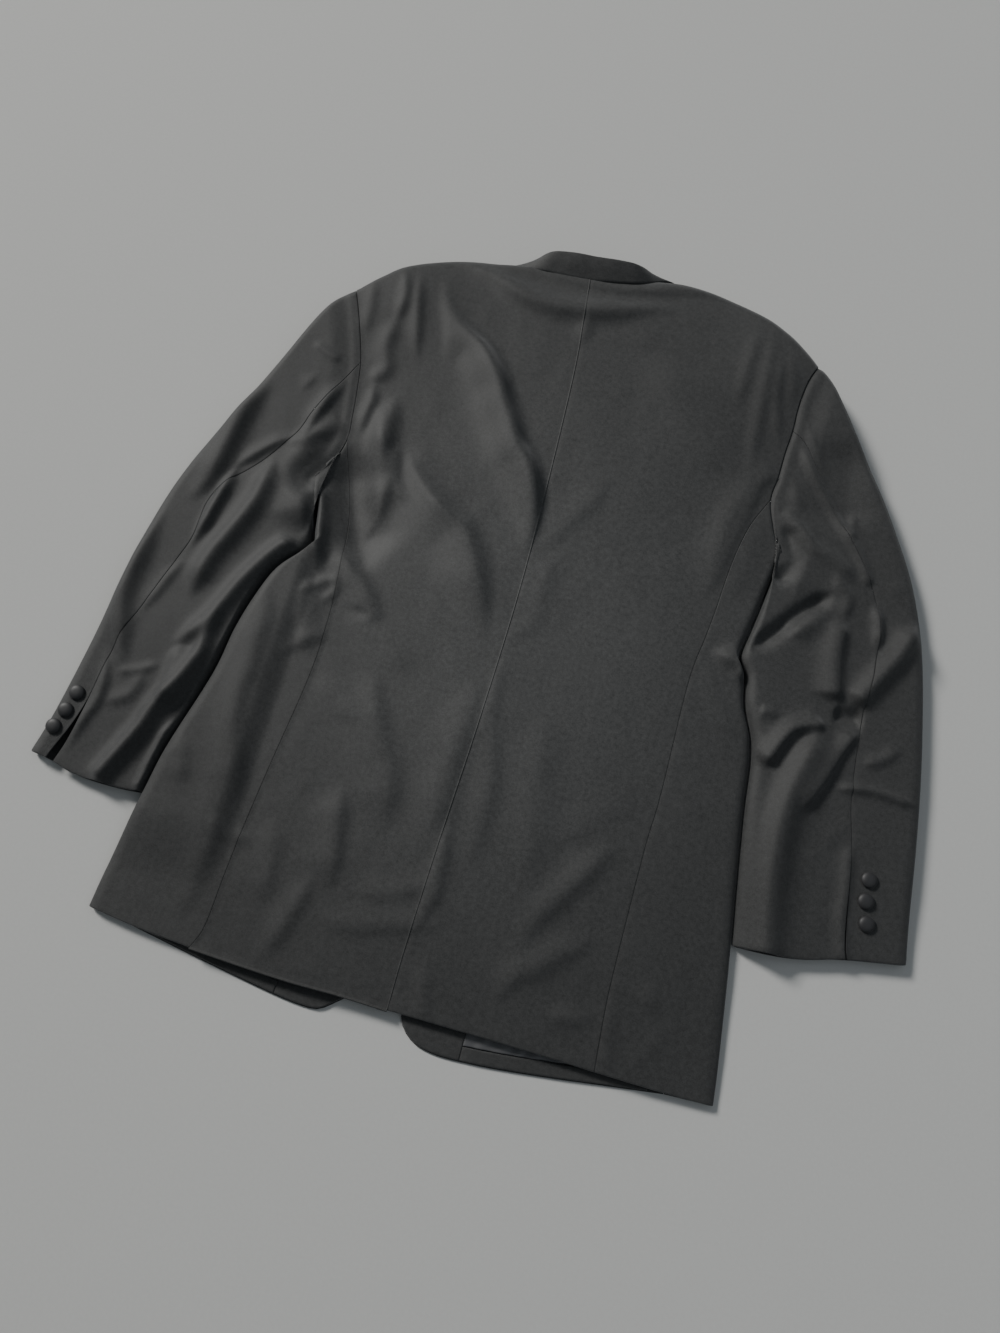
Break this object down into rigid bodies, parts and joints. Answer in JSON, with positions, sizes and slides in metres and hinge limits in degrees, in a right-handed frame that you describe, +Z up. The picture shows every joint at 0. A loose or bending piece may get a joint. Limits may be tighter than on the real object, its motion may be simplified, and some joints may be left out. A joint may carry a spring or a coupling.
{
  "type": "tuxedo jacket",
  "caption": "Man's black dinner jacket laid flat with its back up, sleeves turned down, plain centre-back seam, folded collar, rounded fronts and covered cuff buttons.",
  "frame": {"origin": "on the surface under the middle of the laid jacket", "axes": "+Z up from the surface, out of the jacket's back; +Y up the centre back towards the collar; +X towards the wearer's right side"},
  "size_m": [0.854, 0.8485, 0.0405],
  "materials": {
    "wool": "matte black fine worsted wool",
    "satin": "black satin facing and button covers, soft sheen",
    "lining": "dark grey satin lining"
  },
  "bodies": {
    "root": {"back_left": "wool", "side_panel_left": "wool", "front_left": "wool", "facing_left": "wool", "hem_turn_up_left": "wool", "lining_left": "lining", "lapel_left": "satin", "top_sleeve_left": "wool", "under_sleeve_left": "wool", "cuff_button_left_1": "satin", "cuff_button_left_2": "satin", "cuff_button_left_3": "satin", "back_right": "wool", "side_panel_right": "wool", "front_right": "wool", "facing_right": "wool", "hem_turn_up_right": "wool", "lining_right": "lining", "lapel_right": "satin", "top_sleeve_right": "wool", "under_sleeve_right": "wool", "cuff_button_right_1": "satin", "cuff_button_right_2": "satin", "cuff_button_right_3": "satin", "collar": "wool"}
  },
  "joints": []
}
